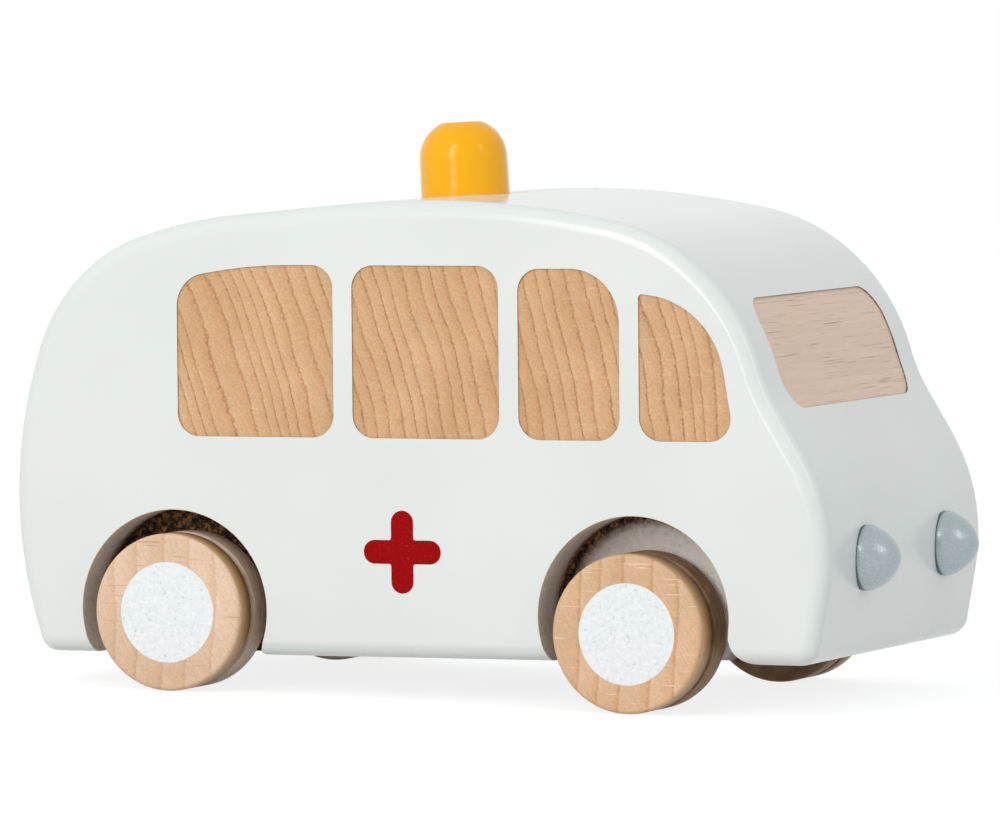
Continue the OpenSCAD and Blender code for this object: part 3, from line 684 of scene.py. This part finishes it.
for end in ("front", "rear"):
    for side, turn in (("right", math.pi / 2), ("left", -math.pi / 2)):
        node = f"{end}_{side}_wheel"
        low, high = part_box(node)
        inner_face = low.y if side == "left" else high.y
        wheel = bpy.data.objects.new(f"{end}_{side}_painted_wheel", pattern_wheel.data.copy())
        bpy.context.collection.objects.link(wheel)
        seat = Matrix.Translation(((low.x + high.x) / 2, inner_face, (low.z + high.z) / 2))
        wheel.data.transform(seat @ Matrix.Rotation(turn, 4, "X"))
        for coat in (wheel_woods[end], spot_paint, inner_discs[end], outer_tread):
            wheel.data.materials.append(coat)
        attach(wheel, f"{end}_wheelset")
        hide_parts(node)
bpy.data.objects.remove(pattern_wheel)


# The beacon
# A turned beech knob with a flat top, dipped in yellow lacquer and glued into the roof by its tenon.
# The thick gloss coat flows into soft ripples with fine pimples, and rounds the rim of the flat.
BEACON_TOP_BAND = 1.0
BEACON_RIM_TURN = math.radians(12)
BEACON_RIM_ROUND = 0.42
BEACON_RIM_STEPS = 4
BEACON_CREASE = math.radians(40)
COAT_RIPPLE = 3.2
COAT_PIMPLE = 0.7

yellow_lacquer, tree, shader, mm = finish(
    "gloss_yellow_lacquer", Specular_IOR_Level=0.0, Coat_Weight=1.0, Coat_IOR=1.33,
    Coat_Roughness=0.16)
ripple = wire(tree, "TexNoise", {"Vector": mm, "Scale": 1 / COAT_RIPPLE, "Detail": 2.0})
pimples = wire(tree, "TexNoise", {"Vector": mm, "Scale": 1 / COAT_PIMPLE, "Detail": 1.0})
depth = wire(tree, "ValToRGB", {0: ripple}, [(0.3, "#ffb300"), (0.7, "#ffb800")])
relief = wire(tree, "Math", {0: pimples, 1: 0.12, 2: ripple}, operation="MULTIPLY_ADD")
skin = wire(tree, "Bump", {"Height": relief, "Strength": 0.3, "Distance": 0.2 * MM})
lead(tree, shader, Base_Color=depth, Normal=skin, Coat_Normal=skin)

low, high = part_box("beacon")
beacon = copy_of("beacon", "yellow_beacon", (yellow_lacquer,))
bpy.ops.mesh.select_mode(type="EDGE")
bpy.ops.mesh.dissolve_limited(angle_limit=FLAT_WITHIN)
bpy.ops.mesh.select_all(action="DESELECT")
for edge in bmesh.from_edit_mesh(beacon.data).edges:
    lowest = min(corner.co.z for corner in edge.verts)
    turned = edge.calc_face_angle(0.0) > BEACON_RIM_TURN
    edge.select_set(lowest > high.z - BEACON_TOP_BAND * MM and turned)
bpy.ops.mesh.bevel(offset=BEACON_RIM_ROUND * MM, segments=BEACON_RIM_STEPS, affect="EDGES")
bpy.ops.object.mode_set(mode="OBJECT")
bpy.ops.object.shade_smooth_by_angle(angle=BEACON_CREASE)
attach(beacon, "block")
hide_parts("beacon")


# The headlights
# Two turned beech domes, sprayed with silver flake paint and glued into the nose by their tenons.
# Painted shade darkens the paint at the foot, where the dome meets the block. Its flakes are drawn
# coarser than real ones, so that they show.
HEADLIGHT_FOOT = (83.02, 19.1)
FOOT_SHADE = (0.05, 0.3)
FLAKE = 0.2
FLAKE_SLANT = 0.35

silver_paint, tree, shader, mm = finish("silver_flake_paint", Metallic=0.7)
flakes = wire(tree, "TexVoronoi", {"Vector": mm, "Scale": 1 / FLAKE})
flake = wire(tree, "SeparateColor", {0: flakes.outputs["Color"]})
base = wire(tree, "ValToRGB", {0: flake.outputs[0]}, [
    (0.0, "#a5b0b3"), (0.8, "#a9b4b7"), (1.0, "#b6c0c2")])
gloss = wire(tree, "MapRange", {"Value": flake.outputs[1], "To Min": 0.24, "To Max": 0.36})
slants = wire(tree, "TexNoise", {"Vector": mm, "Scale": 1 / FLAKE_SLANT, "Detail": 1.0})
skin = wire(tree, "Bump", {"Height": slants, "Strength": 0.6, "Distance": 0.05 * MM})
foot = on_block(HEADLIGHT_FOOT[0], 0, HEADLIGHT_FOOT[1]) / MM
ahead = Matrix.Rotation(-nose_up, 3, "Y") @ Vector((1, 0, 0))
from_foot = wire(tree, "VectorMath", {0: mm, 1: foot}, operation="SUBTRACT")
height = wire(tree, "VectorMath", {0: from_foot, 1: ahead}, operation="DOT_PRODUCT")
# Painted shade: the dome darkens near its foot, where it meets the block.
bare_edge_and_foot_shade = wire(tree, "MapRange", {
    "Value": height.outputs["Value"], "From Min": FOOT_SHADE[0], "From Max": FOOT_SHADE[1],
    "To Min": 0.8, "To Max": 0.0})
shaded = wire(tree, "Mix", {SHARE: bare_edge_and_foot_shade, COLOUR_A: base, COLOUR_B: colour("#4b5356")},
              data_type="RGBA")
lead(tree, shader, Base_Color=shaded, Roughness=gloss, Normal=skin)
for node in ("headlight_left", "headlight_right"):
    frame["nodes"][node].material_slots[0].material = silver_paint


# The studio
# A white floor that fills the view and keeps a faint shadow, a pale surround that is a little cool,
# and two softboxes on either side of the camera. Floor and lamps are in metres.
FLOOR_SIZE = 40.0
FLOOR_MATT = (0.7, 0.7, 0.7, 1.0)
FLOOR_SHADED = (0.3, 0.3, 0.3, 1.0)
FLOOR_GLOW = 0.82
WHITE = (1.0, 1.0, 1.0, 1.0)
SURROUND_COOL = (0.945, 0.975, 1.0, 1.0)
SURROUND_LEVEL = 0.665
LAMP_AIM = (0.0, 0.0, 0.05)
LAMP_DISTANCE = 1.5
CAMERA_AZIMUTH = 21.910
CAMERA_ELEVATION = 3.457
CAMERA_ROLL = 0.878
CAMERA_DISTANCE = 1923.15
CAMERA_TARGET = (-3.794, 0.0, 51.791)
CAMERA_LENS = 359.07
CAMERA_SENSOR = 36.0
CAMERA_REACH = 100.0


def background_rays(tree):
    """Picks the rays that should meet a white background: seen, mirrored and through glass."""
    rays = wire(tree, "LightPath").outputs
    seen = wire(tree, "Math", {0: rays["Is Camera Ray"], 1: rays["Is Glossy Ray"]},
                operation="MAXIMUM")
    return wire(tree, "Math", {0: seen, 1: rays["Is Transmission Ray"]}, operation="MAXIMUM")


def facing_in(azimuth, elevation):
    """Turns a lamp or camera to look at the toy from these angles in degrees."""
    around = Matrix.Rotation(math.radians(azimuth), 4, "Z")
    return around @ Matrix.Rotation(math.radians(90 - elevation), 4, "X")


floor_white, tree, shader, mm = finish("white_studio_floor")
tree.nodes.remove(shader)
shown = background_rays(tree)
matt = wire(tree, "BsdfDiffuse", {"Color": FLOOR_MATT})
faint = wire(tree, "BsdfDiffuse", {"Color": FLOOR_SHADED})
glow = wire(tree, "Emission", {"Color": WHITE, "Strength": FLOOR_GLOW})
backdrop = wire(tree, "AddShader", {0: faint, 1: glow})
mixed = wire(tree, "MixShader", {0: shown, 1: matt, 2: backdrop})
lead(tree, tree.nodes["Material Output"], Surface=mixed)
bpy.ops.object.select_all(action="DESELECT")
bpy.ops.mesh.primitive_plane_add(size=FLOOR_SIZE)
floor = bpy.context.object
floor.name = "studio_floor"
floor.data.materials.append(floor_white)

surround = bpy.data.worlds.new("pale_surround")
bpy.context.scene.world = surround
surround.use_nodes = True
tree = surround.node_tree
shown = background_rays(tree)
level = wire(tree, "MapRange", {"Value": shown, "To Min": SURROUND_LEVEL, "To Max": 1.0})
cool = wire(tree, "Mix", {SHARE: shown, COLOUR_A: SURROUND_COOL, COLOUR_B: WHITE},
            data_type="RGBA")
lead(tree, tree.nodes["Background"], Strength=level, Color=cool)

for name, azimuth, elevation, wide, tall, power, tint in (
    ("left_softbox", -10.0, 22.0, 0.42, 1.1, 8.76, (1.0, 0.972, 0.948)),
    ("right_softbox", 75.0, 30.0, 0.32, 0.5, 1.1, (1.0, 1.0, 1.0)),
):
    lamp = bpy.data.objects.new(name, bpy.data.lights.new(name, "AREA"))
    lamp.data.shape = "RECTANGLE"
    lamp.data.size = wide
    lamp.data.size_y = tall
    lamp.data.energy = power
    lamp.data.color = tint
    back_off = Matrix.Translation((0, 0, LAMP_DISTANCE))
    lamp.matrix_world = Matrix.Translation(LAMP_AIM) @ facing_in(azimuth, elevation) @ back_off
    bpy.context.collection.objects.link(lamp)

camera = bpy.data.objects.new("camera", bpy.data.cameras.new("camera"))
camera.data.sensor_width = CAMERA_SENSOR
camera.data.lens = CAMERA_LENS
camera.data.clip_end = CAMERA_REACH
aim = Matrix.Translation(Vector(CAMERA_TARGET) * MM)
roll = Matrix.Rotation(math.radians(CAMERA_ROLL), 4, "Z")
back_off = Matrix.Translation((0, 0, CAMERA_DISTANCE * MM)) @ roll
camera.matrix_world = aim @ facing_in(CAMERA_AZIMUTH, CAMERA_ELEVATION) @ back_off
bpy.context.collection.objects.link(camera)
bpy.context.scene.camera = camera
bpy.context.scene.view_settings.view_transform = "Standard"
